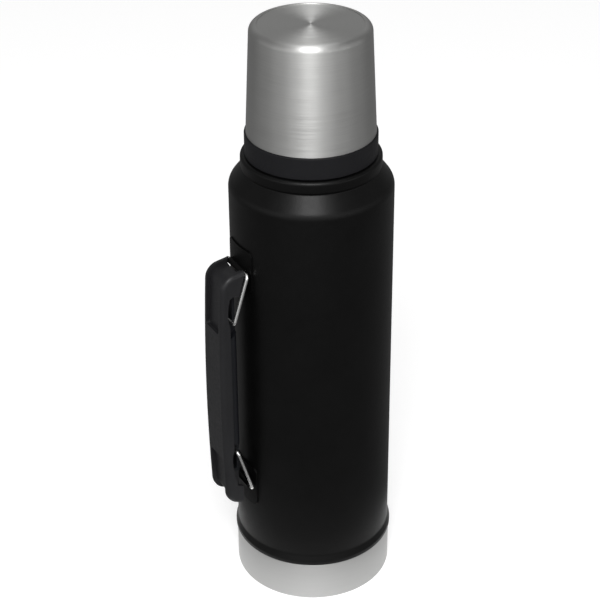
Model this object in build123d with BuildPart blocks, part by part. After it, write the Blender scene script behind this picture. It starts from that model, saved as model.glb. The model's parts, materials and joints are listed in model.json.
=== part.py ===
from build123d import *
from math import sqrt
import os

# Litre-class vacuum growler: a double-walled steel bottle with a screw stopper, a screw cup and a
# grip on two folding wire bails. Millimetres. The bottle's axis is Z, its base stands on Z = 0 and
# the grip is on the -X side. Everything is shown closed, with the grip folded in.

# ---- whole bottle ----
HEIGHT = 366.5
BODY_R = 48.0
STEEL = 0.6
GAP = 0.05

# ---- base cup ----
BASE_R = 48.65
BASE_H = 26.2
BASE_EDGE = 0.6
BASE_FLOOR_ROUND = 0.4
BASE_DISH_R = 40.0
BASE_DISH_W = 2.0
BASE_GROOVE = 0.5
SKIRT_R = BASE_R - STEEL - GAP

# ---- outer shell ----
SKIRT_FOOT_Z = 4.0
BEAD_R = 49.45
BEAD_LOW_Z = BASE_H + 0.15
BEAD_SIDE_H = 3.05
BEAD_TOP_Z = 33.5
BEAD_LOW_ROUND = 1.2
BEAD_HIGH_ROUND = 2.4
BEAD_FOOT_ROUND = 5.0
STEP_BELOW_BEAD = 2.0
STEP_IN_BEAD = 4.0
SHOULDER_Z = 271.2
SHOULDER_ROUND = 8.0
LIP_R = 40.85
LIP_LOW_Z = 281.3
LIP_EDGE_H = 1.2
LIP_EDGE_ROUND = 0.8
LIP_Z = 289.05
LIP_ROUND = 2.0
LIP_BEAD = 0.75
NECK_R = 33.0
NECK_TOP_Z = 309.8
CLOSURE_Z = 7.0
CLOSURE_T = 1.0
CLOSURE_ROUND = 1.5
CLOSURE_DISH = 2.2
CLOSURE_DISH_R = 12.0
CLOSURE_DISH_FLOOR_R = 9.0
CLOSURE_LEAN = 0.4
VENT_R = 1.5
BEAD_DROP = 0.8
BEAD_PLUG_H = 1.2
BEAD_TAPER = 25.0

# ---- getter ----
GETTER_X = 22.0
CLIP_L = 18.0
CLIP_W = 8.0
CLIP_T = 0.5
CLIP_ARM_X = 6.0
CLIP_ARM_T = 0.8
CLIP_ARM_H = 4.5
PILL_R = 5.0
PILL_T = 3.4
PILL_EDGE = 0.6

# ---- inner liner ----
LINER_R = 38.2
LINER_Z = 20.0
LINER_ROUND = 10.0
LINER_SHOULDER_ROUND = 16.0
LINER_NECK_ROUND = 6.0
LINER_LEAN = 0.4
LINER_SHOULDER_Z = 236.0
LINER_NECK_Z = 268.0
MOUTH_R = 27.6
MOUTH_TOP_Z = 310.7
POUR_LIP_R = NECK_R + 0.25
POUR_LIP_ROUND = 0.35
SEAT_R = 25.6
SEAT_Z = 277.0
SEAT_H = 1.0
FOIL_T = 0.15
FOIL_LOW_Z = LINER_Z + 14.0
FOIL_HIGH_Z = LINER_SHOULDER_Z - 10.0

# ---- screw threads: two starts, each under one turn long ----
LEAD = 6.0
STARTS = 2
THREAD_TURNS = 0.8
THREAD_DEPTH = 1.1
THREAD_ROOT_HALF = 0.85
THREAD_TIP_HALF = 0.45
THREAD_PLAY = 0.3
THREAD_SINK = 0.3
THREAD_START = 35.0

# ---- cup ----
COLLAR_R = 38.24
COLLAR_Z = 289.35
COLLAR_TOP_Z = 302.33
COLLAR_BORE_R = NECK_R + THREAD_DEPTH + THREAD_PLAY
COLLAR_EDGE = 0.5
LEDGE_R = 33.8
LEDGE_Z = 301.0
SLEEVE_R = 36.2
SLEEVE_T = 1.2
SLEEVE_TOP_Z = 307.0
SLEEVE_EDGE = 0.3
CUP_THREAD_Z = 292.6
CUP_FOOT_R = 37.25
CUP_TOP_R = 34.47
CUP_EDGE = 4.3
CUP_DISC_R = 29.8
CUP_DISC_STEP = 0.4
CUP_LINER_FOOT_R = SLEEVE_R - SLEEVE_T - GAP
CUP_LINER_TOP_R = 31.6
CUP_CEILING_Z = 359.0
CUP_LINER_EDGE = 7.0
GASKET_R = 37.1
GASKET_T = 1.4
GASKET_PLAY = 0.1
GASKET_IN_R = COLLAR_BORE_R + 0.2
GASKET_EDGE = 0.3

# ---- stopper ----
PLUG_R = MOUTH_R - THREAD_DEPTH - THREAD_PLAY
PLUG_Z = 283.0
PLUG_WALL = 2.0
SEAL_R = 27.2
SEAL_LOW_Z = 277.5
SEAL_LIP_T = 2.2
SEAL_LIP_H = 0.8
SEAL_HUB_R = PLUG_R - 14.0
SEAL_HUB_Z = PLUG_Z - 2.5
SEAL_GROOVE_OUT_R = PLUG_R - 8.0
SEAL_GROOVE_IN_R = PLUG_R - 12.0
SEAL_GROOVE_DEPTH = 0.6
STOPPER_THREAD_Z = 289.0
FLANGE_R = 31.0
FLANGE_Z = 312.2
FLANGE_T = 2.6
FLANGE_EDGE = 1.0
GRIP_R = 25.5
GRIP_TOP_Z = 327.0
GRIP_RIBS = 24
GRIP_RIB_R = 1.0
GRIP_RIB_END = 0.5
GRIP_BORE_R = PLUG_R - PLUG_WALL - 1.0
CAP_T = 3.0
CAP_EDGE = 1.4
CAP_SPIGOT = 4.0
CAP_PLAY = 0.2
CAP_MARK_R = 15.0
CAP_MARK_L = 6.0
CAP_MARK_DEPTH = 0.4
O_RING_R = 29.4
O_RING_SECTION_R = 0.7

# ---- grip: radius from the bottle's axis, half-width across and height ----
GRIP_HALF_W = 11.8
GRIP_WALL = 2.0
GRIP_EDGE = 2.6
FACE_R = 67.4
FACE_MID_Z = 137.0
FACE_BOW_R = 1300.0
TOP_CORNER = (64.9, 227.0)
TOP_ROUND = 9.5
TOP_TIP = (50.2, 229.4)
TOP_HOOK = (53.8, 214.0)
TOP_HOOK_SKIRT = (58.4, 215.1)
LOW_CORNER_Z = 66.7
LOW_ROUND = 10.4
LOW_TIP_R = 55.0
LOW_HOOK_Z = 79.5
HOOK_RELIEF = 1.5
LOW_HOOK_TOP_Z = 89.5
LOW_HOOK_CORNER = (58.7, 81.0)
SKIRT_EDGE_R = 60.5
CAVITY_R = 62.9
GRIP_CAVITY_R = 65.2
END_WALL = 4.2
SKIRT_RELIEF = 1.2
INNER_SIDE_R = 44.0
CHANNEL_HALF_W = 8.0
CHANNEL_DEPTH = 2.4
CHANNEL_TOP_Z = 190.0
CHANNEL_LOW_Z = 101.5
CHANNEL_CORNER = 2.0
CHANNEL_CUT_L = 60.0
BRIDGE_NOTCH_R = 52.0
BRIDGE_NOTCH_PLAY = 0.35
BRIDGE_NOTCH_BELOW = 8.0
BRIDGE_NOTCH_ABOVE = 6.0

# ---- palm piece inside the grip ----
PALM_R = 55.0
PALM_HALF_W = 9.5
PALM_T = 3.6
PALM_EDGE = 2.4
PALM_TOP_Z = 189.2
PALM_LOW_Z = 109.2
PALM_SLOPE_R = 4.8
PALM_TOP_SLOPE_Z = 3.9
PALM_LOW_SLOPE_Z = 1.3
PALM_RIM = 2.0
PALM_POCKET_END = 6.5
PALM_POCKET_CORNER = 1.0
PALM_FOOT_R = CAVITY_R - 0.1
TONGUE_R = 54.7
TONGUE_HALF_W = 6.0
SLOT_PLAY = 0.4
TONGUE_TOP_Z = 215.6
TONGUE_END = 2.5
TONGUE_ROOT_TOP_Z = PALM_TOP_Z - 5.0
TONGUE_ROOT_LOW_Z = PALM_LOW_Z + 4.0
SLOT_IN_R = 56.5
SLOT_DEPTH = 9.0
SLOT_CORNER = 1.2
SCREW_Z = (121.0, 149.0, 177.0)
SCREW_R = 1.4
SCREW_HEAD_R = 2.6
SCREW_HEAD_T = 1.7
SCREW_HEAD_EDGE = 0.7
SCREW_HEAD_PROUD_R = PALM_R + 0.4
SCREW_CROSS_L = 2.6
SCREW_CROSS_W = 0.6
SCREW_CROSS_DEPTH = 0.9
SCREW_OVERLAP = 0.1
SCREW_TIP_R = 63.6
SCREW_PLAY = 0.15
SCREW_HEAD_PLAY = 0.2
SCREW_HEAD_SINK = 0.4
BOSS_R = 3.2
BOSS_END = 0.5
BOSS_HOLE_END = 0.6

# ---- wire bails and their brackets ----
WIRE_R = 1.1
WIRE_BEND_R = 2.2
BAIL_HALF_W = 13.2
PIVOT_R = 49.2
TOP_PIVOT_Z = 227.2
LOW_PIVOT_Z = 76.0
BAR_R = 58.6
BAR_DROP = 30.1
TOE_GAP = 0.8
BAR_SIDE_PLAY = 1.5
BRACKET_T = 0.85
BRACKET_HALF_W = 13.4
BRACKET_LONG = 14.2
BRACKET_SHORT = 13.6
BRACKET_CORNER = 4.0
BRIDGE_HALF_W = 8.6
BRIDGE_T = 0.9
BRIDGE_FOOT = 4.0
BRIDGE_SLOT_END = 1.2
PIN_PLAY = 0.08

MIRROR_Z = (TOP_PIVOT_Z + LOW_PIVOT_Z) / 2

os.makedirs("parts", exist_ok=True)


def finish(builder, name):
    """Label the finished piece and write it."""
    builder.part.label = name
    export_step(builder.part, f"parts/{name}.step")


def section(points, rounds=()):
    """Closed outline in the XZ plane; rounds holds (corner number, radius) pairs."""
    with BuildSketch(Plane.XZ) as outline:
        with BuildLine():
            Polyline(*points, close=True)
        make_face()
        for number, radius in rounds:
            fillet(outline.vertices().sort_by_distance(Vector(*points[number]))[0], radius)
    return outline.sketch


def thread(radius, low_z, outward):
    """Trapezoid ridges of one screw thread, on a shaft (outward) or in a bore."""
    side = 1 if outward else -1
    ridges = []
    for start in range(STARTS):
        path = Helix(LEAD, LEAD * THREAD_TURNS, radius, center=(0, 0, low_z))
        with BuildPart() as ridge:
            with BuildSketch(Plane(origin=path @ 0, x_dir=(1, 0, 0), z_dir=path % 0)):
                Polygon(
                    (-side * THREAD_SINK, -THREAD_ROOT_HALF),
                    (side * THREAD_DEPTH, -THREAD_TIP_HALF),
                    (side * THREAD_DEPTH, THREAD_TIP_HALF),
                    (-side * THREAD_SINK, THREAD_ROOT_HALF),
                    align=None,
                )
            sweep(path=path, is_frenet=True)
        ridges.append(Rot(0, 0, THREAD_START + 360 * start / STARTS) * ridge.part)
    return ridges


# ================= the bottle =================

# Outer shell: wall, rolled bead over the base cup, shoulder, lip and the threaded neck.
shell_outside = [
    (SKIRT_R, SKIRT_FOOT_Z),
    (SKIRT_R, BEAD_LOW_Z),
    (BEAD_R, BEAD_LOW_Z),
    (BEAD_R, BEAD_LOW_Z + BEAD_SIDE_H),
    (BODY_R, BEAD_TOP_Z),
    (BODY_R, SHOULDER_Z),
    (LIP_R - LIP_BEAD, LIP_LOW_Z),
    (LIP_R, LIP_LOW_Z + LIP_EDGE_H),
    (LIP_R, LIP_Z),
    (NECK_R, LIP_Z),
    (NECK_R, NECK_TOP_Z),
]
shell_inside = [
    (NECK_R - STEEL, NECK_TOP_Z),
    (NECK_R - STEEL, LIP_Z - STEEL),
    (LIP_R - LIP_BEAD - STEEL, LIP_Z - STEEL),
    (LIP_R - LIP_BEAD - STEEL, LIP_LOW_Z - STEEL / 3),
    (BODY_R - STEEL, SHOULDER_Z - STEEL / 3),
    (BODY_R - STEEL, BEAD_TOP_Z - STEP_IN_BEAD),
    (SKIRT_R - STEEL, BASE_H - STEP_BELOW_BEAD),
    (SKIRT_R - STEEL, SKIRT_FOOT_Z),
]
shell_rounds = [
    (2, BEAD_LOW_ROUND),
    (3, BEAD_HIGH_ROUND),
    (4, BEAD_FOOT_ROUND),
    (5, SHOULDER_ROUND),
    (6, LIP_EDGE_ROUND),
    (7, LIP_EDGE_ROUND),
    (8, LIP_ROUND),
    (len(shell_outside) + 2, LIP_ROUND / 2),
    (len(shell_outside) + 4, SHOULDER_ROUND - STEEL),
]
with BuildPart() as outer_shell:
    revolve(section(shell_outside + shell_inside, shell_rounds), axis=Axis.Z)
    for ridge in thread(NECK_R, CUP_THREAD_Z, True):
        add(ridge)
finish(outer_shell, "outer_shell")

# Base cup: the bare steel cup pressed over the shell's skirt, standing on a flat face.
with BuildPart() as base_cup:
    revolve(
        section(
            [
                (0, 0),
                (BASE_R, 0),
                (BASE_R, BASE_H),
                (BASE_R - STEEL, BASE_H),
                (BASE_R - STEEL, STEEL + BASE_GROOVE),
                (0, STEEL + BASE_GROOVE),
            ],
            [(1, BASE_EDGE), (4, BASE_FLOOR_ROUND)],
        ),
        axis=Axis.Z,
    )
    with BuildSketch(Plane.XY):
        Circle(BASE_DISH_R)
        Circle(BASE_DISH_R - BASE_DISH_W, mode=Mode.SUBTRACT)
    extrude(amount=BASE_GROOVE, mode=Mode.SUBTRACT)
finish(base_cup, "base_cup")

# Vacuum closure: the disc that seals the bottom of the jacket, with its pump-out hole.
closure_r = SKIRT_R - STEEL - GAP
closure_top_z = CLOSURE_Z + CLOSURE_T
dish_z = CLOSURE_Z - CLOSURE_DISH
with BuildPart() as vacuum_closure:
    revolve(
        section(
            [
                (VENT_R, dish_z),
                (CLOSURE_DISH_FLOOR_R, dish_z),
                (CLOSURE_DISH_R, CLOSURE_Z),
                (closure_r - CLOSURE_T, CLOSURE_Z),
                (closure_r - CLOSURE_T, SKIRT_FOOT_Z),
                (closure_r, SKIRT_FOOT_Z),
                (closure_r, closure_top_z),
                (CLOSURE_DISH_R - CLOSURE_LEAN, closure_top_z),
                (CLOSURE_DISH_FLOOR_R - CLOSURE_LEAN, dish_z + CLOSURE_T),
                (VENT_R, dish_z + CLOSURE_T),
            ],
            [(6, CLOSURE_ROUND), (3, CLOSURE_ROUND - CLOSURE_T)],
        ),
        axis=Axis.Z,
    )
finish(vacuum_closure, "vacuum_closure")

# Sealing bead: the solder drop that closes the pump-out hole.
with BuildPart() as sealing_bead:
    with BuildSketch(Plane.XY.offset(dish_z - GAP)):
        Circle(2 * VENT_R)
    extrude(amount=-BEAD_DROP, taper=BEAD_TAPER)
    with BuildSketch(Plane.XY.offset(dish_z - GAP)):
        Circle(VENT_R - GAP)
    extrude(amount=BEAD_PLUG_H)
finish(sealing_bead, "sealing_bead")

# Getter: the gas-absorbing pill and the clip that holds it in the vacuum space.
clip_z = closure_top_z + GAP
with BuildPart() as getter_clip:
    with BuildSketch(Plane.XY.offset(clip_z)):
        with Locations((GETTER_X, 0)):
            Rectangle(CLIP_L, CLIP_W)
    extrude(amount=CLIP_T)
    with BuildSketch(Plane.XY.offset(clip_z)):
        with Locations((GETTER_X - CLIP_ARM_X, 0), (GETTER_X + CLIP_ARM_X, 0)):
            Rectangle(CLIP_ARM_T, CLIP_W)
    extrude(amount=CLIP_ARM_H)
finish(getter_clip, "getter_clip")

with BuildPart() as getter_pill:
    with BuildSketch(Plane.XY.offset(clip_z + CLIP_T + GAP)):
        with Locations((GETTER_X, 0)):
            Circle(PILL_R)
    extrude(amount=PILL_T)
    fillet(getter_pill.edges().filter_by(GeomType.CIRCLE), PILL_EDGE)
finish(getter_pill, "getter_pill")

# Inner liner: the drink's vessel, its neck thread, the stopper's seat and the flared pouring lip.
liner_outside = [
    (0, LINER_Z),
    (LINER_R, LINER_Z),
    (LINER_R, LINER_SHOULDER_Z),
    (MOUTH_R + STEEL, LINER_NECK_Z),
    (MOUTH_R + STEEL, MOUTH_TOP_Z - STEEL),
    (POUR_LIP_R, MOUTH_TOP_Z - STEEL),
    (POUR_LIP_R, MOUTH_TOP_Z),
]
liner_inside = [
    (MOUTH_R, MOUTH_TOP_Z),
    (MOUTH_R, SEAT_Z + SEAT_H),
    (SEAT_R, SEAT_Z),
    (SEAT_R, SEAT_Z - SEAT_H),
    (MOUTH_R, SEAT_Z - 2 * SEAT_H),
    (MOUTH_R, LINER_NECK_Z + LINER_LEAN),
    (LINER_R - STEEL, LINER_SHOULDER_Z - LINER_LEAN),
    (LINER_R - STEEL, LINER_Z + STEEL),
    (0, LINER_Z + STEEL),
]
liner_rounds = [
    (1, LINER_ROUND),
    (2, LINER_SHOULDER_ROUND),
    (3, LINER_NECK_ROUND),
    (6, POUR_LIP_ROUND),
    (len(liner_outside) + 5, LINER_NECK_ROUND + STEEL),
    (len(liner_outside) + 6, LINER_SHOULDER_ROUND - STEEL),
    (len(liner_outside) + 7, LINER_ROUND - STEEL),
]
with BuildPart() as inner_liner:
    revolve(section(liner_outside + liner_inside, liner_rounds), axis=Axis.Z)
    for ridge in thread(MOUTH_R, STOPPER_THREAD_Z + LEAD / STARTS / 2, False):
        add(ridge)
finish(inner_liner, "inner_liner")

# Foil wrap: the heat reflector around the liner's straight wall.
with BuildPart() as foil_wrap:
    with BuildSketch(Plane.XY.offset(FOIL_LOW_Z)):
        Circle(LINER_R + GAP + FOIL_T)
        Circle(LINER_R + GAP, mode=Mode.SUBTRACT)
    extrude(amount=FOIL_HIGH_Z - FOIL_LOW_Z)
finish(foil_wrap, "foil_wrap")

# ================= the cup =================

shell_foot_z = COLLAR_TOP_Z + GAP
cup_taper = (CUP_TOP_R - CUP_FOOT_R) / (HEIGHT - CUP_EDGE - shell_foot_z)
cup_corner_r = CUP_TOP_R + cup_taper * CUP_EDGE
cup_disc_z = HEIGHT - CUP_DISC_STEP
with BuildPart() as cup_shell:
    revolve(
        section(
            [
                (CUP_FOOT_R, shell_foot_z),
                (cup_corner_r, HEIGHT),
                (CUP_DISC_R, HEIGHT),
                (CUP_DISC_R, cup_disc_z),
                (0, cup_disc_z),
                (0, cup_disc_z - STEEL),
                (cup_corner_r - STEEL, cup_disc_z - STEEL),
                (CUP_FOOT_R - STEEL, shell_foot_z),
            ],
            [(1, CUP_EDGE), (6, CUP_EDGE - STEEL)],
        ),
        axis=Axis.Z,
    )
finish(cup_shell, "cup_shell")

with BuildPart() as cup_liner:
    revolve(
        section(
            [
                (CUP_LINER_FOOT_R, shell_foot_z),
                (CUP_LINER_TOP_R, CUP_CEILING_Z),
                (0, CUP_CEILING_Z),
                (0, CUP_CEILING_Z - STEEL),
                (CUP_LINER_TOP_R - STEEL, CUP_CEILING_Z - STEEL),
                (CUP_LINER_FOOT_R - STEEL, shell_foot_z),
            ],
            [(1, CUP_LINER_EDGE), (4, CUP_LINER_EDGE - STEEL)],
        ),
        axis=Axis.Z,
    )
finish(cup_liner, "cup_liner")

# Collar: the moulded ring that joins the cup's two walls and carries its thread.
with BuildPart() as cup_collar:
    revolve(
        section(
            [
                (GASKET_R + GASKET_PLAY, COLLAR_Z),
                (COLLAR_R, COLLAR_Z),
                (COLLAR_R, COLLAR_TOP_Z),
                (SLEEVE_R, COLLAR_TOP_Z),
                (SLEEVE_R, SLEEVE_TOP_Z),
                (SLEEVE_R - SLEEVE_T, SLEEVE_TOP_Z),
                (SLEEVE_R - SLEEVE_T, COLLAR_TOP_Z),
                (LEDGE_R, COLLAR_TOP_Z),
                (LEDGE_R, LEDGE_Z),
                (COLLAR_BORE_R, LEDGE_Z),
                (COLLAR_BORE_R, COLLAR_Z + GASKET_T),
                (GASKET_R + GASKET_PLAY, COLLAR_Z + GASKET_T),
            ],
            [(1, COLLAR_EDGE), (2, COLLAR_EDGE), (4, SLEEVE_EDGE), (5, SLEEVE_EDGE)],
        ),
        axis=Axis.Z,
    )
    for ridge in thread(COLLAR_BORE_R, CUP_THREAD_Z + LEAD / STARTS / 2, False):
        add(ridge)
finish(cup_collar, "cup_collar")

# Cup gasket: the soft ring in the collar's foot that seats on the bottle's lip.
with BuildPart() as cup_gasket:
    revolve(
        section(
            [
                (GASKET_IN_R, LIP_Z + GAP),
                (GASKET_R, LIP_Z + GAP),
                (GASKET_R, COLLAR_Z + GASKET_T - GAP),
                (GASKET_IN_R, COLLAR_Z + GASKET_T - GAP),
            ],
            [(0, GASKET_EDGE), (1, GASKET_EDGE)],
        ),
        axis=Axis.Z,
    )
finish(cup_gasket, "cup_gasket")

# ================= the stopper =================

flange_top_z = FLANGE_Z + FLANGE_T
cap_z = GRIP_TOP_Z - CAP_T
with BuildPart() as stopper_body:
    revolve(
        section(
            [
                (0, PLUG_Z),
                (PLUG_R, PLUG_Z),
                (PLUG_R, FLANGE_Z),
                (FLANGE_R, FLANGE_Z),
                (FLANGE_R, flange_top_z),
                (GRIP_R, flange_top_z),
                (GRIP_R, cap_z),
                (GRIP_BORE_R, cap_z),
                (GRIP_BORE_R, PLUG_Z + PLUG_WALL),
                (0, PLUG_Z + PLUG_WALL),
            ],
            [(4, FLANGE_EDGE), (5, FLANGE_EDGE)],
        ),
        axis=Axis.Z,
    )
    for ridge in thread(PLUG_R, STOPPER_THREAD_Z, True):
        add(ridge)
    with BuildSketch(Plane.XY.offset(flange_top_z + GRIP_RIB_END)):
        with PolarLocations(GRIP_R, GRIP_RIBS):
            Circle(GRIP_RIB_R)
    extrude(amount=cap_z - flange_top_z - 2 * GRIP_RIB_END)
    with BuildSketch(Plane.XY.offset(PLUG_Z)):
        Circle(SEAL_GROOVE_OUT_R)
        Circle(SEAL_GROOVE_IN_R, mode=Mode.SUBTRACT)
    extrude(amount=SEAL_GROOVE_DEPTH, mode=Mode.SUBTRACT)
finish(stopper_body, "stopper_body")

with BuildPart() as stopper_cap:
    with BuildSketch(Plane.XY.offset(cap_z + GAP)):
        Circle(GRIP_R + GRIP_RIB_R)
    extrude(amount=CAP_T - GAP)
    fillet(stopper_cap.edges().group_by(Axis.Z)[-1], CAP_EDGE)
    with BuildSketch(Plane.XY.offset(cap_z + GAP)):
        Circle(GRIP_BORE_R - CAP_PLAY)
    extrude(amount=-CAP_SPIGOT)
    with BuildSketch(Plane.XY.offset(GRIP_TOP_Z)):
        with PolarLocations(CAP_MARK_R, 2):
            Triangle(c=CAP_MARK_L, B=60, C=60)
    extrude(amount=-CAP_MARK_DEPTH, mode=Mode.SUBTRACT)
finish(stopper_cap, "stopper_cap")

with BuildPart() as stopper_foam:
    with BuildSketch(Plane.XY.offset(PLUG_Z + PLUG_WALL + GAP)):
        Circle(GRIP_BORE_R - CAP_PLAY)
    extrude(amount=cap_z - CAP_SPIGOT - PLUG_Z - PLUG_WALL - 2 * GAP)
finish(stopper_foam, "stopper_foam")

# Lower seal: the soft ring under the plug that presses on the liner's seat.
seal_top_z = PLUG_Z - GAP
seal_key_z = PLUG_Z + SEAL_GROOVE_DEPTH - GAP
with BuildPart() as stopper_seal:
    revolve(
        section(
            [
                (SEAL_GROOVE_IN_R + GAP, seal_key_z),
                (SEAL_GROOVE_IN_R + GAP, seal_top_z),
                (SEAL_HUB_R, seal_top_z),
                (SEAL_HUB_R, SEAL_HUB_Z),
                (SEAL_R - SEAL_LIP_T, SEAL_LOW_Z),
                (SEAL_R, SEAL_LOW_Z + SEAL_LIP_H),
                (SEAL_R, seal_top_z),
                (SEAL_GROOVE_OUT_R - GAP, seal_top_z),
                (SEAL_GROOVE_OUT_R - GAP, seal_key_z),
            ]
        ),
        axis=Axis.Z,
    )
finish(stopper_seal, "stopper_seal")

# O-ring: the flange's seal on the pouring lip.
with BuildPart() as stopper_o_ring:
    with BuildSketch(Plane.XZ):
        with Locations((O_RING_R, MOUTH_TOP_Z + O_RING_SECTION_R + GAP)):
            Circle(O_RING_SECTION_R)
    revolve(axis=Axis.Z)
finish(stopper_o_ring, "stopper_o_ring")

# ================= the grip =================


def face_r(z):
    """Radius of the grip's long bowed outer face at height z."""
    return FACE_R - FACE_BOW_R + sqrt(FACE_BOW_R**2 - (z - FACE_MID_Z) ** 2)


def grip_outline(face_inset, end_inset, top_r, low_r, between=()):
    """Side outline of the grip, inset from its outside, with its inner side at the given radii."""
    top_corner = (face_inset - TOP_CORNER[0], TOP_CORNER[1] - end_inset)
    low_corner = (face_inset - face_r(LOW_CORNER_Z), LOW_CORNER_Z + end_inset)
    slope = (TOP_TIP[1] - TOP_CORNER[1]) / (TOP_CORNER[0] - TOP_TIP[0])
    top_end = (-top_r, top_corner[1] + slope * (-top_corner[0] - top_r))
    with BuildSketch(Plane.XZ) as outline:
        with BuildLine():
            ThreePointArc(low_corner, (face_inset - FACE_R, FACE_MID_Z), top_corner)
            Polyline(
                top_corner,
                top_end,
                *[(-r, z) for r, z in between],
                (-low_r, low_corner[1]),
                low_corner,
            )
        make_face()
        for corner, radius in ((top_corner, TOP_ROUND), (low_corner, LOW_ROUND)):
            nearest = outline.vertices().sort_by_distance(Vector(*corner))[0]
            fillet(nearest, radius - face_inset)
    return outline.sketch


def mirrored(z):
    """Height on the other side of the bails' middle plane."""
    return 2 * MIRROR_Z - z


with BuildPart() as channel_cutter:
    with BuildSketch(Plane.YZ.offset(-FACE_R)):
        with Locations(
            (0, CHANNEL_TOP_Z + CHANNEL_CUT_L / 2),
            (0, CHANNEL_LOW_Z - CHANNEL_CUT_L / 2),
        ):
            RectangleRounded(2 * CHANNEL_HALF_W, CHANNEL_CUT_L, CHANNEL_CORNER)
    extrude(amount=FACE_R - INNER_SIDE_R)
    extrude(
        grip_outline(CHANNEL_DEPTH, CHANNEL_DEPTH, INNER_SIDE_R, INNER_SIDE_R),
        amount=GRIP_HALF_W,
        both=True,
        mode=Mode.SUBTRACT,
    )

# The skirts' edges are relieved by shallow arcs where the bails' bars slide past.
relief_low_z = TOP_PIVOT_Z - BAR_DROP - WIRE_R - BAR_SIDE_PLAY
relief_high_z = TOP_HOOK[1] - BAR_SIDE_PLAY

with BuildPart() as grip_shell:
    extrude(
        grip_outline(
            0,
            0,
            TOP_TIP[0],
            LOW_TIP_R,
            [
                TOP_HOOK,
                TOP_HOOK_SKIRT,
                (SKIRT_EDGE_R, TOP_HOOK_SKIRT[1] - HOOK_RELIEF),
                (SKIRT_EDGE_R, LOW_HOOK_TOP_Z),
                LOW_HOOK_CORNER,
                (LOW_TIP_R, LOW_HOOK_Z),
            ],
        ),
        amount=GRIP_HALF_W,
        both=True,
    )
    rim = [
        edge
        for edge in grip_shell.edges().filter_by(GeomType.LINE, reverse=True)
        if abs(abs(edge.center().Y) - GRIP_HALF_W) < 0.01
    ]
    fillet(rim, GRIP_EDGE)
    # hollow between the skirts, open towards the bottle
    extrude(
        grip_outline(FACE_R - CAVITY_R, END_WALL, INNER_SIDE_R, INNER_SIDE_R),
        amount=GRIP_HALF_W - GRIP_WALL,
        both=True,
        mode=Mode.SUBTRACT,
    )
    with BuildSketch(Plane.XY.offset(TONGUE_ROOT_LOW_Z)):
        with Locations((-GRIP_CAVITY_R / 2, 0)):
            Rectangle(GRIP_CAVITY_R, 2 * (GRIP_HALF_W - GRIP_WALL))
    extrude(amount=TONGUE_ROOT_TOP_Z - TONGUE_ROOT_LOW_Z, mode=Mode.SUBTRACT)
    add(channel_cutter.part, mode=Mode.SUBTRACT)
    # room for the upper bracket's bridge in the top hook
    with BuildSketch(Plane.XY.offset(TOP_PIVOT_Z - BRIDGE_NOTCH_BELOW)):
        Circle(BRIDGE_NOTCH_R)
        Rectangle(2 * FACE_R, 2 * (BRIDGE_HALF_W + BRIDGE_NOTCH_PLAY), mode=Mode.INTERSECT)
    extrude(amount=BRIDGE_NOTCH_BELOW + BRIDGE_NOTCH_ABOVE, mode=Mode.SUBTRACT)
    # relief for the sliding bars
    for low_z, high_z in (
        (relief_low_z, relief_high_z),
        (mirrored(relief_high_z), mirrored(relief_low_z)),
    ):
        with BuildSketch(Plane.XZ):
            with BuildLine():
                ThreePointArc(
                    (-SKIRT_EDGE_R, low_z),
                    (-SKIRT_EDGE_R - SKIRT_RELIEF, (low_z + high_z) / 2),
                    (-SKIRT_EDGE_R, high_z),
                )
                Line((-SKIRT_EDGE_R, high_z), (-SKIRT_EDGE_R, low_z))
            make_face()
        extrude(amount=GRIP_HALF_W, both=True, mode=Mode.SUBTRACT)
    # screw bosses
    with BuildSketch(Plane.YZ.offset(-PALM_R - PALM_T - GAP)):
        with Locations(*[(0, z) for z in SCREW_Z]):
            Circle(BOSS_R)
    extrude(amount=PALM_R + PALM_T - GRIP_CAVITY_R - BOSS_END)
    with BuildSketch(Plane.YZ.offset(-PALM_R)):
        with Locations(*[(0, z) for z in SCREW_Z]):
            Circle(SCREW_R + GAP)
    extrude(amount=PALM_R - SCREW_TIP_R - BOSS_HOLE_END, mode=Mode.SUBTRACT)
finish(grip_shell, "grip_shell")

# Palm piece: the inner half of the grip, with a slotted tongue at each end for a bail's bar.
slot_low_z = TOP_PIVOT_Z - BAR_DROP - WIRE_R - SLOT_PLAY
slot_high_z = TONGUE_TOP_Z - TONGUE_END


def heights(z, upper):
    """A height of the upper tongue, or its mirror on the lower one."""
    return z if upper else mirrored(z)


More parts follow.
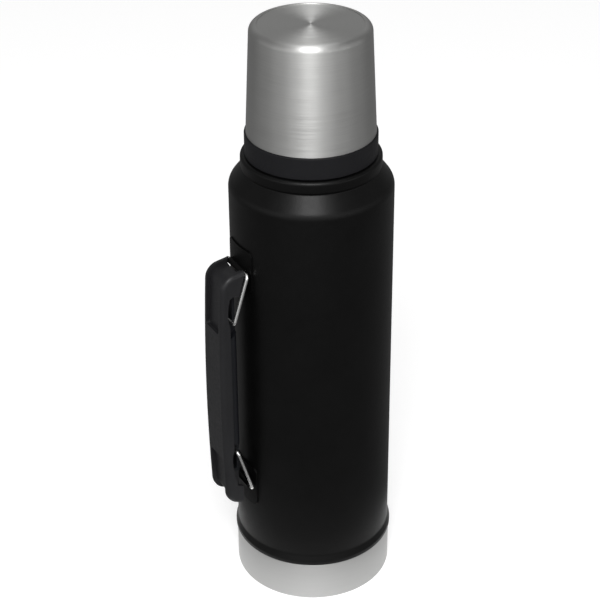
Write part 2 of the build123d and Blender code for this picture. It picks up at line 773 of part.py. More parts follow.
with BuildPart() as grip_palm:
    with BuildSketch(Plane.XZ):
        with BuildLine():
            Polyline(
                (-PALM_R, PALM_LOW_Z),
                (-PALM_R, PALM_TOP_Z),
                (-PALM_R - PALM_SLOPE_R, PALM_TOP_Z - PALM_TOP_SLOPE_Z),
                (-PALM_FOOT_R, PALM_TOP_Z - PALM_TOP_SLOPE_Z),
                (-PALM_FOOT_R, PALM_LOW_Z + PALM_LOW_SLOPE_Z),
                (-PALM_R - PALM_SLOPE_R, PALM_LOW_Z + PALM_LOW_SLOPE_Z),
                close=True,
            )
        make_face()
    extrude(amount=PALM_HALF_W, both=True)
    fillet(grip_palm.edges().filter_by(Axis.Z).group_by(Axis.X)[-1], PALM_EDGE)
    with BuildSketch(Plane.YZ.offset(-CAVITY_R)):
        with Locations((0, (PALM_TOP_Z + PALM_LOW_Z) / 2)):
            RectangleRounded(
                2 * (PALM_HALF_W - PALM_RIM),
                PALM_TOP_Z - PALM_LOW_Z - 2 * PALM_POCKET_END,
                PALM_POCKET_CORNER,
            )
    extrude(amount=CAVITY_R - PALM_R - PALM_T, mode=Mode.SUBTRACT)
    for upper, root_z in ((True, TONGUE_ROOT_TOP_Z), (False, TONGUE_ROOT_LOW_Z)):
        with BuildSketch(Plane.XZ):
            with BuildLine():
                Polyline(
                    (-TONGUE_R, root_z),
                    (-TONGUE_R, heights(TONGUE_TOP_Z, upper)),
                    (-PALM_FOOT_R, heights(TONGUE_TOP_Z, upper)),
                    (-PALM_FOOT_R, root_z),
                    close=True,
                )
            make_face()
        extrude(amount=TONGUE_HALF_W, both=True)
        slot_mid_z = heights((slot_low_z + slot_high_z) / 2, upper)
        with BuildSketch(Plane.XZ):
            with Locations((-SLOT_IN_R - SLOT_DEPTH / 2, slot_mid_z)):
                RectangleRounded(SLOT_DEPTH, slot_high_z - slot_low_z, SLOT_CORNER)
        extrude(amount=TONGUE_HALF_W, both=True, mode=Mode.SUBTRACT)
    extrude(
        grip_outline(FACE_R - PALM_FOOT_R, END_WALL, INNER_SIDE_R, INNER_SIDE_R),
        amount=PALM_HALF_W,
        both=True,
        mode=Mode.INTERSECT,
    )
    for radius, depth in (
        (SCREW_R + SCREW_PLAY, PALM_T),
        (SCREW_HEAD_R + SCREW_HEAD_PLAY, SCREW_HEAD_T + SCREW_HEAD_SINK),
    ):
        with BuildSketch(Plane.YZ.offset(-PALM_R)):
            with Locations(*[(0, z) for z in SCREW_Z]):
                Circle(radius)
        extrude(amount=-depth, mode=Mode.SUBTRACT)
finish(grip_palm, "grip_palm")

# Grip screws: three cross-head screws through the palm piece into the shell's bosses.
shank_r = SCREW_HEAD_PROUD_R + SCREW_HEAD_T - SCREW_OVERLAP
with BuildPart() as grip_screws:
    with BuildSketch(Plane.YZ.offset(-SCREW_HEAD_PROUD_R)):
        with Locations(*[(0, z) for z in SCREW_Z]):
            Circle(SCREW_HEAD_R)
    extrude(amount=-SCREW_HEAD_T)
    fillet(grip_screws.edges().group_by(Axis.X)[-1], SCREW_HEAD_EDGE)
    with BuildSketch(Plane.YZ.offset(-SCREW_HEAD_PROUD_R)):
        with Locations(*[(0, z) for z in SCREW_Z]):
            Rectangle(SCREW_CROSS_L, SCREW_CROSS_W)
            Rectangle(SCREW_CROSS_W, SCREW_CROSS_L)
    extrude(amount=-SCREW_CROSS_DEPTH, mode=Mode.SUBTRACT)
    with BuildSketch(Plane.YZ.offset(-shank_r)):
        with Locations(*[(0, z) for z in SCREW_Z]):
            Circle(SCREW_R)
    extrude(amount=shank_r - SCREW_TIP_R)
finish(grip_screws, "grip_screws")

# ================= bails and brackets =================


def bail_points(pivot_z, bar_z):
    """Centre line of a bail: a toe, a leg, the bar in the bracket, the other leg and toe."""
    half = [
        (-BAR_R, TOE_GAP / 2, bar_z),
        (-BAR_R, BAIL_HALF_W, bar_z),
        (-PIVOT_R, BAIL_HALF_W, pivot_z),
    ]
    return half + [(x, -y, z) for x, y, z in reversed(half)]


def bail_wire(points):
    """Round wire bent along the points."""
    with BuildPart() as wire:
        with BuildLine() as path:
            FilletPolyline(*points, radius=WIRE_BEND_R)
        with BuildSketch(Plane(origin=path.line @ 0, z_dir=path.line % 0)):
            Circle(WIRE_R)
        sweep()
    return wire.part


with BuildPart() as upper_bail:
    add(bail_wire(bail_points(TOP_PIVOT_Z, TOP_PIVOT_Z - BAR_DROP)))
finish(upper_bail, "upper_bail")

with BuildPart() as lower_bail:
    add(bail_wire(bail_points(LOW_PIVOT_Z, LOW_PIVOT_Z + BAR_DROP)))
finish(lower_bail, "lower_bail")


def bracket(pivot_z, high_z, low_z):
    """Curved plate on the shell with a raised bridge that holds a bail's bar."""
    with BuildPart() as plate:
        with BuildSketch(Plane.XY.offset(low_z)):
            Circle(BODY_R + GAP + BRACKET_T)
        extrude(amount=high_z - low_z)
        with BuildSketch(Plane.YZ):
            with Locations((0, (high_z + low_z) / 2)):
                RectangleRounded(2 * BRACKET_HALF_W, high_z - low_z, BRACKET_CORNER)
        extrude(amount=-2 * BODY_R, mode=Mode.INTERSECT)
        bridge_r = WIRE_R + PIN_PLAY + BRIDGE_T
        with BuildSketch(Plane.XZ):
            with Locations((-PIVOT_R, pivot_z)):
                Circle(bridge_r)
            with Locations((-PIVOT_R + BRIDGE_FOOT / 2, pivot_z)):
                Rectangle(BRIDGE_FOOT, 2 * bridge_r)
        extrude(amount=BRIDGE_HALF_W, both=True)
        with BuildSketch(Plane.XZ):
            with Locations((-PIVOT_R, pivot_z)):
                Circle(WIRE_R + PIN_PLAY)
            with Locations((-PIVOT_R + BRIDGE_FOOT / 2, pivot_z)):
                Rectangle(BRIDGE_FOOT, 2 * (WIRE_R + PIN_PLAY))
        extrude(amount=BRIDGE_HALF_W + BRIDGE_SLOT_END, both=True, mode=Mode.SUBTRACT)
        with BuildSketch(Plane.XY.offset(low_z)):
            Circle(BODY_R + GAP)
        extrude(amount=high_z - low_z, mode=Mode.SUBTRACT)
    return plate.part


with BuildPart() as upper_bracket:
    add(bracket(TOP_PIVOT_Z, TOP_PIVOT_Z + BRACKET_LONG, TOP_PIVOT_Z - BRACKET_SHORT))
finish(upper_bracket, "upper_bracket")

with BuildPart() as lower_bracket:
    add(bracket(LOW_PIVOT_Z, LOW_PIVOT_Z + BRACKET_SHORT, LOW_PIVOT_Z - BRACKET_LONG))
finish(lower_bracket, "lower_bracket")
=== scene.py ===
import json
from math import atan2, cos, pi, radians, sin, tan

import bmesh
import bpy
from mathutils import Matrix, Vector


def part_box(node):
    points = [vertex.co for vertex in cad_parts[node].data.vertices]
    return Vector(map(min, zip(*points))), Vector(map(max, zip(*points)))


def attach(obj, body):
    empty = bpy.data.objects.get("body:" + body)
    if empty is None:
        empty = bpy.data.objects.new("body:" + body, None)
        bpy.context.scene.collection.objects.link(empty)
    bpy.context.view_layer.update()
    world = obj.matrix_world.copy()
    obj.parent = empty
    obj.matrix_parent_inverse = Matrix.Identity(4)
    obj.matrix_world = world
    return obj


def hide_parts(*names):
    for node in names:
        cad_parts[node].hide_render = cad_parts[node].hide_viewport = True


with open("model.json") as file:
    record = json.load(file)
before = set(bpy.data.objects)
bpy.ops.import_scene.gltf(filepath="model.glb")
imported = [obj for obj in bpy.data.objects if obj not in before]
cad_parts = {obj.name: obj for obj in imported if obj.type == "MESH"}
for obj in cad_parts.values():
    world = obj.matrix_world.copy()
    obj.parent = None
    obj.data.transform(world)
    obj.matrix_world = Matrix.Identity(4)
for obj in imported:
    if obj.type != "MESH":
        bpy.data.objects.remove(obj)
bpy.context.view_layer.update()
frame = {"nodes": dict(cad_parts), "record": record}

# A litre-class vacuum growler. Metres, in the row frame: the bottle's axis is Z, it stands on Z = 0
# and the grip is on the -X side.

MM = 0.001
SEGMENTS = 256
ARC_STEP = radians(6)
# Degrees between two faces from which their edge is sharp.
SHARP_ANGLE = 35
CUP_SHARP_ANGLE = 60

# ---- sizes taken from the frame ----
TOP_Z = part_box("cup_shell")[1].z
CUP_FOOT_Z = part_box("cup_shell")[0].z
CUP_FOOT_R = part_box("cup_shell")[1].y
BASE_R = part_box("base_cup")[1].y
BASE_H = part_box("base_cup")[1].z
BEAD_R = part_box("outer_shell")[1].y
NECK_TOP_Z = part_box("outer_shell")[1].z
SKIRT_FOOT_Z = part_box("outer_shell")[0].z

# ---- sizes repeated from the design ----
STEEL = 0.6 * MM
BODY_R = 48.0 * MM
SKIRT_R = BASE_R - STEEL - 0.05 * MM
SKIRT_INSIDE_DROP = 2 * MM
SEAM_GAP = 0.15 * MM
BEAD_H = 3.2 * MM
BEAD_LOW_ROUND = 1.2 * MM
BEAD_HIGH_ROUND = 2.4 * MM
BEAD_TOP_Z = 33.5 * MM
BEAD_INSIDE_DROP = 4 * MM
BODY_FOOT_ROUND = 5.0 * MM
SHOULDER_Z = 271.2 * MM
SHOULDER_ROUND = 8.0 * MM
LIP_R = 40.85 * MM
LIP_BEAD = 0.75 * MM
LIP_LOW_Z = 281.3 * MM
LIP_Z = 289.05 * MM
LIP_ROUND = 2.0 * MM
LIP_ROOT_RISE = 1.2 * MM
LIP_ROOT_ROUND = 0.8 * MM
LIP_INSIDE_ROUND = 1.0 * MM
NECK_R = 33.0 * MM
BASE_EDGE = 0.6 * MM
BASE_FLOOR_ROUND = 0.4 * MM
BASE_RIM_ROUND = 0.25 * MM
BASE_RIM_INSIDE_ROUND = 0.15 * MM
GROOVE_DEPTH = 0.5 * MM
GROOVE_IN_R = 38 * MM
GROOVE_OUT_R = 40 * MM
GROOVE_SLOPE = 0.3 * MM
CUP_TOP_R = 34.47 * MM
CUP_EDGE = 4.3 * MM
CUP_DISC_R = 29.8 * MM
CUP_DISC_STEP = 0.4 * MM
CUP_DISC_EDGE = 0.12 * MM
CUP_DISC_FILLET = 0.1 * MM
CUP_FOOT_EDGE = 0.2 * MM
THREAD_START_Z = 292.6 * MM
THREAD_LEAD = 6.0 * MM
THREAD_TURNS = 0.8
THREAD_DEPTH = 1.1 * MM
THREAD_SINK = 0.3 * MM
THREAD_ROOT_HALF = 0.85 * MM
THREAD_TIP_HALF = 0.45 * MM
# Degrees: where the thread begins, and its two starts.
THREAD_ANGLE = 35.0
THREAD_STARTS = (0, 180)
THREAD_STEPS = 96

# ---- sizes of the grip's two inner ribs, which are in this model only: dark pieces that stand in for the shade inside the grip's lower end ----
RIB_Y = 5.4 * MM
RIB_HALF_T = 0.5 * MM
# Millimetres out from the bottle's axis, and up.
RIB_OUTLINE_MM = [(62.0, 74.5), (60.0, 71.5), (55.3, 70.5), (55.3, 90.0), (64.0, 90.0)]


# ================= mesh helpers =================


def rounded(corners):
    """Outline points from (r, z, fillet radius) corners of a closed polygon, in order."""
    points = []
    count = len(corners)
    for i, (r, z, fillet) in enumerate(corners):
        here = Vector((r, z))
        if not fillet:
            points.append(here)
            continue
        before = (Vector(corners[i - 1][:2]) - here).normalized()
        after = (Vector(corners[(i + 1) % count][:2]) - here).normalized()
        half = before.angle(after) / 2
        start = here + before * fillet / tan(half)
        end = here + after * fillet / tan(half)
        centre = here + (before + after).normalized() * fillet / sin(half)
        turn = pi - 2 * half
        first = atan2(start.y - centre.y, start.x - centre.x)
        side = 1 if before.x * after.y - before.y * after.x < 0 else -1
        steps = max(2, int(turn / ARC_STEP) + 1)
        for k in range(steps + 1):
            a = first + side * turn * k / steps
            points.append(centre + fillet * Vector((cos(a), sin(a))))
    return points


def new_object(name, bm, sharp=SHARP_ANGLE):
    """Mesh object from a bmesh: smooth, but for edges sharper than the given angle."""
    bmesh.ops.recalc_face_normals(bm, faces=bm.faces)
    for face in bm.faces:
        face.smooth = True
    for edge in bm.edges:
        if len(edge.link_faces) == 2:
            edge.smooth = edge.calc_face_angle() < radians(sharp)
    mesh = bpy.data.meshes.new(name)
    bm.to_mesh(mesh)
    bm.free()
    made = bpy.data.objects.new(name, mesh)
    bpy.context.scene.collection.objects.link(made)
    return made


def lathe(bm, outline):
    """Turns a closed (r, z) outline about the Z axis into the bmesh."""
    rings = []
    for r, z in outline:
        if r < 1e-7:
            rings.append([bm.verts.new((0, 0, z))])
            continue
        turns = [2 * pi * k / SEGMENTS for k in range(SEGMENTS)]
        rings.append([bm.verts.new((r * cos(a), r * sin(a), z)) for a in turns])
    for low, high in zip(rings, rings[1:] + rings[:1]):
        if len(low) == len(high) == 1:
            continue
        for k in range(SEGMENTS):
            n = (k + 1) % SEGMENTS
            loop = [low[k % len(low)], low[n % len(low)], high[n % len(high)], high[k % len(high)]]
            corners = list(dict.fromkeys(loop))
            if len(corners) > 2:
                bm.faces.new(corners)


def turned(name, corners, sharp=SHARP_ANGLE):
    """Lathed object from outline corners."""
    bm = bmesh.new()
    lathe(bm, rounded(corners))
    return new_object(name, bm, sharp)


# ================= materials =================

# The middle range of a noise, where nearly all its values lie.
NOISE_LOW = 0.3
NOISE_HIGH = 0.7


def scaled(colour, factor):
    """Colour made darker or lighter, with no channel above 1."""
    return tuple(min(1, factor * c) for c in colour)


class Nodes:
    """Short way to build a node material around one Principled shader."""

    def __init__(self, name, base, rough, metal=0.0, **sockets):
        self.material = bpy.data.materials.new(name)
        self.material.use_nodes = True
        self.tree = self.material.node_tree
        self.shader = self.tree.nodes["Principled BSDF"]
        self.shader.inputs["Base Color"].default_value = (*base, 1)
        self.shader.inputs["Roughness"].default_value = rough
        self.shader.inputs["Metallic"].default_value = metal
        for socket, value in sockets.items():
            self.shader.inputs[socket.replace("_", " ")].default_value = value
        self.place = self.node("ShaderNodeTexCoord").outputs["Object"]

    def node(self, kind, **settings):
        made = self.tree.nodes.new(kind)
        for key, value in settings.items():
            setattr(made, key, value)
        return made

    def link(self, source, target):
        self.tree.links.new(source, target)

    def math(self, operation, a, b=None):
        made = self.node("ShaderNodeMath", operation=operation)
        for socket, value in zip(made.inputs, (a, b)):
            if isinstance(value, (int, float)):
                socket.default_value = value
            elif value is not None:
                self.link(value, socket)
        return made.outputs[0]

    def noise(self, scale, detail, rough=0.55, vector=None, stretch=None):
        made = self.node("ShaderNodeTexNoise")
        made.inputs["Scale"].default_value = scale
        made.inputs["Detail"].default_value = detail
        made.inputs["Roughness"].default_value = rough
        source = vector or self.place
        if stretch:
            mapping = self.node("ShaderNodeMapping")
            mapping.inputs["Scale"].default_value = stretch
            self.link(source, mapping.inputs["Vector"])
            source = mapping.outputs[0]
        self.link(source, made.inputs["Vector"])
        return made.outputs["Fac"]

    def roughen(self, value, smooth, dull, lowest=NOISE_LOW, highest=NOISE_HIGH):
        """Roughness from smooth to dull over a value's range."""
        made = self.node("ShaderNodeMapRange")
        limits = {"From Min": lowest, "From Max": highest, "To Min": smooth, "To Max": dull}
        for socket, number in limits.items():
            made.inputs[socket].default_value = number
        self.link(value, made.inputs["Value"])
        self.link(made.outputs[0], self.shader.inputs["Roughness"])

    def tint(self, value, dark, light):
        """Base colour from dark to light over a noise's middle range."""
        made = self.node("ShaderNodeValToRGB")
        made.color_ramp.elements[0].position = NOISE_LOW
        made.color_ramp.elements[1].position = NOISE_HIGH
        made.color_ramp.elements[0].color = (*dark, 1)
        made.color_ramp.elements[1].color = (*light, 1)
        self.link(value, made.inputs[0])
        self.link(made.outputs[0], self.shader.inputs["Base Color"])

    def bump(self, height, strength, distance):
        made = self.node("ShaderNodeBump")
        made.inputs["Strength"].default_value = strength
        made.inputs["Distance"].default_value = distance
        self.link(height, made.inputs["Height"])
        self.link(made.outputs[0], self.shader.inputs["Normal"])


def powder_coat():
    """Satin black powder coat: fine orange peel over a slow unevenness."""
    m = Nodes("powder_coat", base=(0.001, 0.001, 0.001), rough=0.40, Specular_IOR_Level=0.18)
    fine = m.noise(scale=1500, detail=2.0)
    slow = m.noise(scale=40, detail=2.0)
    m.tint(slow, dark=(0.0008, 0.0008, 0.0008), light=(0.0014, 0.0014, 0.0014))
    m.roughen(m.noise(scale=300, detail=3.0), smooth=0.36, dull=0.45, lowest=0.0, highest=1.0)
    m.bump(fine, strength=0.5, distance=0.0001)
    return m.material


def around(m):
    """Cylindrical coordinates about Z: (radius, angle in radians, height)."""
    split = m.node("ShaderNodeSeparateXYZ")
    m.link(m.place, split.inputs[0])
    x, y, z = split.outputs
    radius = m.math("SQRT", m.math("ADD", m.math("MULTIPLY", x, x), m.math("MULTIPLY", y, y)))
    turn = m.math("ARCTAN2", y, x)
    join = m.node("ShaderNodeCombineXYZ")
    for source, socket in zip((radius, turn, z), join.inputs):
        m.link(source, socket)
    return join.outputs[0]


def brushed(name, base, rough, pull, grain):
    """Steel brushed in rings about Z: fine lines round the side and circles on the top."""
    m = Nodes(name, base, rough, 1.0, Anisotropic=pull, Anisotropic_Rotation=0.25)
    tangent = m.node("ShaderNodeTangent", direction_type="RADIAL", axis="Z")
    m.link(tangent.outputs[0], m.shader.inputs["Tangent"])
    place = around(m)
    fine = m.noise(scale=1.0, detail=4.0, rough=0.65, vector=place, stretch=(7000, 1.6, 7000))
    broad = m.noise(scale=1.0, detail=2.0, rough=0.5, vector=place, stretch=(900, 0.5, 900))
    lines = m.math("ADD", m.math("MULTIPLY", fine, 0.8), m.math("MULTIPLY", broad, 0.2))
    m.roughen(lines, smooth=rough - 0.05 * grain, dull=rough + 0.06 * grain)
    m.tint(lines, dark=scaled(base, 1 - 0.06 * grain), light=scaled(base, 1 + 0.04 * grain))
    m.bump(fine, strength=0.10 * grain, distance=0.00003)
    return m.material


def moulded(name, base, rough, spec=0.4):
    """Injection-moulded plastic with a fine etched grain."""
    m = Nodes(name, base, rough, Specular_IOR_Level=spec)
    grain = m.noise(scale=3200, detail=2.0)
    m.tint(m.noise(scale=60, detail=2.0), dark=scaled(base, 0.92), light=scaled(base, 1.08))
    m.roughen(m.noise(scale=500, detail=3.0), smooth=rough - 0.05, dull=rough + 0.06)
    m.bump(grain, strength=0.22, distance=0.00005)
    return m.material


def wire_steel():
    """Bright drawn wire."""
    m = Nodes("wire_steel", base=(0.86, 0.86, 0.85), rough=0.24, metal=1.0)
    m.roughen(m.noise(scale=200, detail=2.0), smooth=0.23, dull=0.27)
    return m.material


def plain_metal(name, base, rough):
    """Unpolished sheet or cast metal with a mottled roughness."""
    m = Nodes(name, base, rough, 1.0)
    m.roughen(m.noise(scale=350, detail=4.0), smooth=rough - 0.08, dull=rough + 0.1)
    m.tint(m.noise(scale=90, detail=3.0), dark=scaled(base, 0.92), light=scaled(base, 1.05))
    return m.material


def soft(name, base, rough):
    """Rubber or foam."""
    m = Nodes(name, base, rough, Specular_IOR_Level=0.3)
    m.tint(m.noise(scale=700, detail=3.0), dark=scaled(base, 0.85), light=scaled(base, 1.1))
    m.bump(m.noise(scale=1800, detail=3.0), strength=0.3, distance=0.0001)
    return m.material


MATERIALS = {
    "powder_coat": powder_coat(),
    "brushed_steel": brushed("brushed_steel", (0.54, 0.54, 0.53), rough=0.46, pull=0.75, grain=2.2),
    "base_steel": brushed("base_steel", (0.46, 0.46, 0.455), rough=0.45, pull=0.6, grain=0.8),
    "drawn_steel": plain_metal("drawn_steel", (0.55, 0.55, 0.54), 0.32),
    "copper_foil": plain_metal("copper_foil", (0.72, 0.42, 0.30), 0.22),
    "getter_metal": plain_metal("getter_metal", (0.20, 0.20, 0.21), 0.6),
    "solder": plain_metal("solder", (0.55, 0.56, 0.58), 0.4),
    "collar_plastic": moulded("collar_plastic", (0.006, 0.006, 0.007), 0.5, 0.17),
    "grip_plastic": moulded("grip_plastic", (0.010, 0.010, 0.011), 0.42, 0.25),
    "palm_plastic": moulded("palm_plastic", (0.006, 0.0065, 0.008), 0.42, 0.2),
    "stopper_plastic": moulded("stopper_plastic", (0.020, 0.020, 0.021), 0.45),
    "bracket_paint": moulded("bracket_paint", (0.001, 0.001, 0.001), 0.42, 0.12),
    "wire_steel": wire_steel(),
    "screw_steel": plain_metal("screw_steel", (0.40, 0.40, 0.40), 0.35),
    "seal_rubber": soft("seal_rubber", (0.02, 0.02, 0.02), 0.7),
    "foam": soft("foam", (0.80, 0.78, 0.70), 0.9),
}


def coat(obj, *slots):
    """Gives an object its materials, by slot name, in order."""
    obj.data.materials.clear()
    for slot in slots:
        obj.data.materials.append(MATERIALS[slot])


def stand_for(obj, node, body, *slots):
    """obj replaces a CAD node, rides on its body and takes its record slots' materials."""
    coat(obj, *slots)
    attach(obj, body)
    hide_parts(node)


for part in frame["record"]["subparts"]:
    coat(frame["nodes"][part["node"]], part["material_slot"])


def make_grip_shade_ribs():
    """Two ribs inside the grip's lower end, from its hook to its back: painted shade, dark pieces
    that close a see-through gap there.
    """
    for name, y in (("grip_shade_rib_left", -RIB_Y), ("grip_shade_rib_right", RIB_Y)):
        bm = bmesh.new()
        sides = (y - RIB_HALF_T, y + RIB_HALF_T)
        near, far = (
            [bm.verts.new((-r * MM, flank, z * MM)) for r, z in RIB_OUTLINE_MM] for flank in sides
        )
        bm.faces.new(near)
        bm.faces.new(far)
        for k in range(len(near)):
            n = (k + 1) % len(near)
            bm.faces.new((near[k], near[n], far[n], far[k]))
        rib = new_object(name, bm)
        # Painted shade: the grip's black plastic fills the gap where only shade shows.
        coat(rib, "grip_plastic")
        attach(rib, "grip")


make_grip_shade_ribs()


# ================= turned pieces =================


def neck_thread(bm):
    """Two raised helical ridges round the neck, which the cup screws on to."""
    section = [
        (-THREAD_SINK, -THREAD_ROOT_HALF),
        (THREAD_DEPTH, -THREAD_TIP_HALF),
        (THREAD_DEPTH, THREAD_TIP_HALF),
        (-THREAD_SINK, THREAD_ROOT_HALF),
    ]
    for start in THREAD_STARTS:
        rings = []
        for k in range(THREAD_STEPS + 1):
            share = THREAD_TURNS * k / THREAD_STEPS
            a = radians(THREAD_ANGLE + start) + 2 * pi * share
            z = THREAD_START_Z + THREAD_LEAD * share
            spots = [(NECK_R + out, z + up) for out, up in section]
            rings.append([bm.verts.new((r * cos(a), r * sin(a), h)) for r, h in spots])
        for low, high in zip(rings, rings[1:]):
            for i in range(len(section)):
                j = (i + 1) % len(section)
                bm.faces.new((low[i], low[j], high[j], high[i]))
        bm.faces.new(rings[0])
        bm.faces.new(rings[-1][::-1])


def make_outer_shell():
    """Powder-coated body, rolled bead, shoulder and lip; the neck above the lip is bare steel."""
    inner_lip_r = LIP_R - LIP_BEAD - STEEL
    outside = [
        (SKIRT_R, SKIRT_FOOT_Z, 0),
        (SKIRT_R, BASE_H + SEAM_GAP, 0),
        (BEAD_R, BASE_H + SEAM_GAP, BEAD_LOW_ROUND),
        (BEAD_R, BASE_H + BEAD_H, BEAD_HIGH_ROUND),
        (BODY_R, BEAD_TOP_Z, BODY_FOOT_ROUND),
        (BODY_R, SHOULDER_Z, SHOULDER_ROUND),
        (LIP_R - LIP_BEAD, LIP_LOW_Z, LIP_ROOT_ROUND),
        (LIP_R, LIP_LOW_Z + LIP_ROOT_RISE, LIP_ROOT_ROUND),
        (LIP_R, LIP_Z, LIP_ROUND),
        (NECK_R, LIP_Z, 0),
        (NECK_R, NECK_TOP_Z, 0),
    ]
    inside = [
        (NECK_R - STEEL, NECK_TOP_Z, 0),
        (NECK_R - STEEL, LIP_Z - STEEL, 0),
        (inner_lip_r, LIP_Z - STEEL, LIP_INSIDE_ROUND),
        (inner_lip_r, LIP_LOW_Z - STEEL / 3, 0),
        (BODY_R - STEEL, SHOULDER_Z - STEEL / 3, SHOULDER_ROUND - STEEL),
        (BODY_R - STEEL, BEAD_TOP_Z - BEAD_INSIDE_DROP, 0),
        (SKIRT_R - STEEL, BASE_H - SKIRT_INSIDE_DROP, 0),
        (SKIRT_R - STEEL, SKIRT_FOOT_Z, 0),
    ]
    bm = bmesh.new()
    lathe(bm, rounded(outside + inside))
    neck_thread(bm)
    shell = new_object("outer_shell_visual", bm)
    stand_for(shell, "outer_shell", "bottle", "powder_coat", "drawn_steel")
    for face in shell.data.polygons:
        if face.center.z > LIP_Z + MM:
            face.material_index = 1


def make_base_cup():
    """Bare steel cup pressed over the shell's skirt."""
    floor_z = STEEL + GROOVE_DEPTH
    cup = turned(
        "base_cup_visual",
        [
            (0, 0, 0),
            (GROOVE_IN_R, 0, 0),
            (GROOVE_IN_R + GROOVE_SLOPE, GROOVE_DEPTH, 0),
            (GROOVE_OUT_R - GROOVE_SLOPE, GROOVE_DEPTH, 0),
            (GROOVE_OUT_R, 0, 0),
            (BASE_R, 0, BASE_EDGE),
            (BASE_R, BASE_H, BASE_RIM_ROUND),
            (BASE_R - STEEL, BASE_H, BASE_RIM_INSIDE_ROUND),
            (BASE_R - STEEL, floor_z, BASE_FLOOR_ROUND),
            (0, floor_z, 0),
        ],
    )
    stand_for(cup, "base_cup", "bottle", "brushed_steel")
    # A little darker than the cup lid's steel, with fainter brush lines.
    cup.data.materials[0] = MATERIALS["base_steel"]


def make_cup_shell():
    """The cup's tapered outer wall with a rounded edge and a slightly sunk top disc."""
    taper = (CUP_TOP_R - CUP_FOOT_R) / (TOP_Z - CUP_EDGE - CUP_FOOT_Z)
    corner_r = CUP_TOP_R + taper * CUP_EDGE
    ceiling_z = TOP_Z - CUP_DISC_STEP - STEEL
    cup = turned(
        "cup_shell_visual",
        [
            (CUP_FOOT_R, CUP_FOOT_Z, CUP_FOOT_EDGE),
            (corner_r, TOP_Z, CUP_EDGE),
            (CUP_DISC_R, TOP_Z, CUP_DISC_EDGE),
            (CUP_DISC_R, TOP_Z - CUP_DISC_STEP, CUP_DISC_FILLET),
            (0, TOP_Z - CUP_DISC_STEP, 0),
            (0, ceiling_z, 0),
            (corner_r - STEEL, ceiling_z, CUP_EDGE - STEEL),
            (CUP_FOOT_R - STEEL, CUP_FOOT_Z, CUP_FOOT_EDGE),
        ],
        CUP_SHARP_ANGLE,
    )
    stand_for(cup, "cup_shell", "cup", "brushed_steel")


make_outer_shell()
make_base_cup()
make_cup_shell()


# ================= stage, lights and camera =================


def area_light(name, place, aim_z, size, power):
    """White rectangular soft light at a place, turned towards a point on the axis."""
    data = bpy.data.lights.new(name, "AREA")
    data.shape = "RECTANGLE"
    data.size, data.size_y = size
    data.energy = power
    lamp = bpy.data.objects.new(name, data)
    lamp.location = place
    lamp.rotation_euler = (Vector((0, 0, aim_z)) - place).to_track_quat("-Z", "Y").to_euler()
    bpy.context.scene.collection.objects.link(lamp)


# Degrees, metres, and millimetres for the lens and the sensor.
CAMERA_AZIMUTH = -29.0
CAMERA_PITCH = 30.80
CAMERA_DISTANCE = 1.0238
CAMERA_AIM_Z = 0.1902
CAMERA_YAW = 0.40
CAMERA_ROLL = -0.26
CAMERA_LENS = 102.44
CAMERA_SENSOR = 36.0


def polar(azimuth, elevation, distance):
    """Point seen from the camera's aim at an azimuth (0 is -Y) and elevation, in degrees."""
    a, e = radians(azimuth), radians(elevation)
    flat = distance * cos(e)
    return Vector((sin(a) * flat, -cos(a) * flat, CAMERA_AIM_Z + distance * sin(e)))


def make_camera():
    data = bpy.data.cameras.new("camera")
    data.lens = CAMERA_LENS
    data.sensor_width = CAMERA_SENSOR
    camera = bpy.data.objects.new("camera", data)
    place = polar(CAMERA_AZIMUTH, CAMERA_PITCH, CAMERA_DISTANCE)
    look = (Vector((0, 0, CAMERA_AIM_Z)) - place).to_track_quat("-Z", "Y").to_matrix()
    yaw = Matrix.Rotation(radians(CAMERA_YAW), 3, "Y")
    roll = Matrix.Rotation(radians(CAMERA_ROLL), 3, "Z")
    camera.matrix_world = Matrix.Translation(place) @ (look @ yaw @ roll).to_4x4()
    bpy.context.scene.collection.objects.link(camera)
    bpy.context.scene.camera = camera


TABLE_R = 0.092
FLOOR_R = 4.0
FLOOR_SEGMENTS = 96
FLOOR_GREY = (0.6, 0.6, 0.6)
FLOOR_GLOW = 0.52
FLOOR_DROP = 0.2 * MM


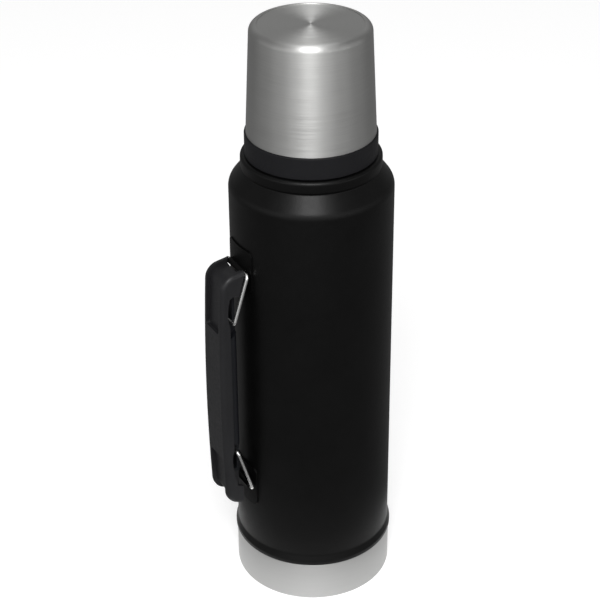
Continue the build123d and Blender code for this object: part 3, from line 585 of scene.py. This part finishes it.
def make_floor():
    """Pale floor: a table top round the bottle, which its metal reflects, in a wide plain floor."""
    m = Nodes("floor_white", FLOOR_GREY, 0.9, Specular_IOR_Level=0.0, Emission_Strength=FLOOR_GLOW)
    m.shader.inputs["Emission Color"].default_value = (1, 1, 1, 1)
    for name, radii in (("table_top", (0, TABLE_R)), ("floor", (TABLE_R, FLOOR_R))):
        bm = bmesh.new()
        rings = []
        for r in radii:
            turns = [2 * pi * k / FLOOR_SEGMENTS for k in range(FLOOR_SEGMENTS)] if r else [0]
            rings.append([bm.verts.new((r * cos(a), r * sin(a), 0)) for a in turns])
        inner, outer = rings
        for k in range(FLOOR_SEGMENTS):
            n = (k + 1) % FLOOR_SEGMENTS
            loop = [inner[k % len(inner)], outer[k], outer[n], inner[n % len(inner)]]
            bm.faces.new(list(dict.fromkeys(loop)))
        sheet = new_object(name, bm)
        sheet.location.z = -FLOOR_DROP
        sheet.data.materials.append(m.material)
        sheet.visible_glossy = name == "table_top"


WORLD_STRENGTH = 0.20
# Name, azimuth, elevation, distance, height aimed at, size and watts.
LIGHTS = [
    ("key_light", -31, 46, 3.6, 0.2, (1.35, 1.6), 110),
    ("front_light", -30, 14, 2.4, 0.2, (3.6, 1.8), 18),
    ("near_fill_0", CAMERA_AZIMUTH - 48, 12, 3.0, 0.3, (2.2, 1.4), 9),
    ("far_fill_0", CAMERA_AZIMUTH - 84, 12, 3.0, 0.3, (2.2, 1.4), 4),
    ("near_fill_2", CAMERA_AZIMUTH + 48, 12, 3.0, 0.3, (2.2, 1.4), 9),
    ("far_fill_2", CAMERA_AZIMUTH + 84, 12, 3.0, 0.3, (2.2, 1.4), 4),
    ("back_light", CAMERA_AZIMUTH + 180, 33, 3.0, 0.3, (3.2, 1.2), 3),
]
TOP_LIGHT_Z = 3.0
TOP_LIGHT_AIM_Z = 0.2
TOP_LIGHT_SIZE = (2.4, 2.4)
TOP_LIGHT_POWER = 16


def make_world():
    world = bpy.data.worlds.new("studio")
    world.use_nodes = True
    back = world.node_tree.nodes["Background"]
    back.inputs[0].default_value = (1, 1, 1, 1)
    back.inputs[1].default_value = WORLD_STRENGTH
    bpy.context.scene.world = world


make_camera()
make_floor()
make_world()
for name, azimuth, elevation, distance, aim_z, size, power in LIGHTS:
    area_light(name, polar(azimuth, elevation, distance), aim_z, size, power)
top = Vector((0, 0, TOP_LIGHT_Z))
area_light("top_light", top, TOP_LIGHT_AIM_Z, TOP_LIGHT_SIZE, TOP_LIGHT_POWER)

bpy.context.scene.view_settings.view_transform = "Standard"
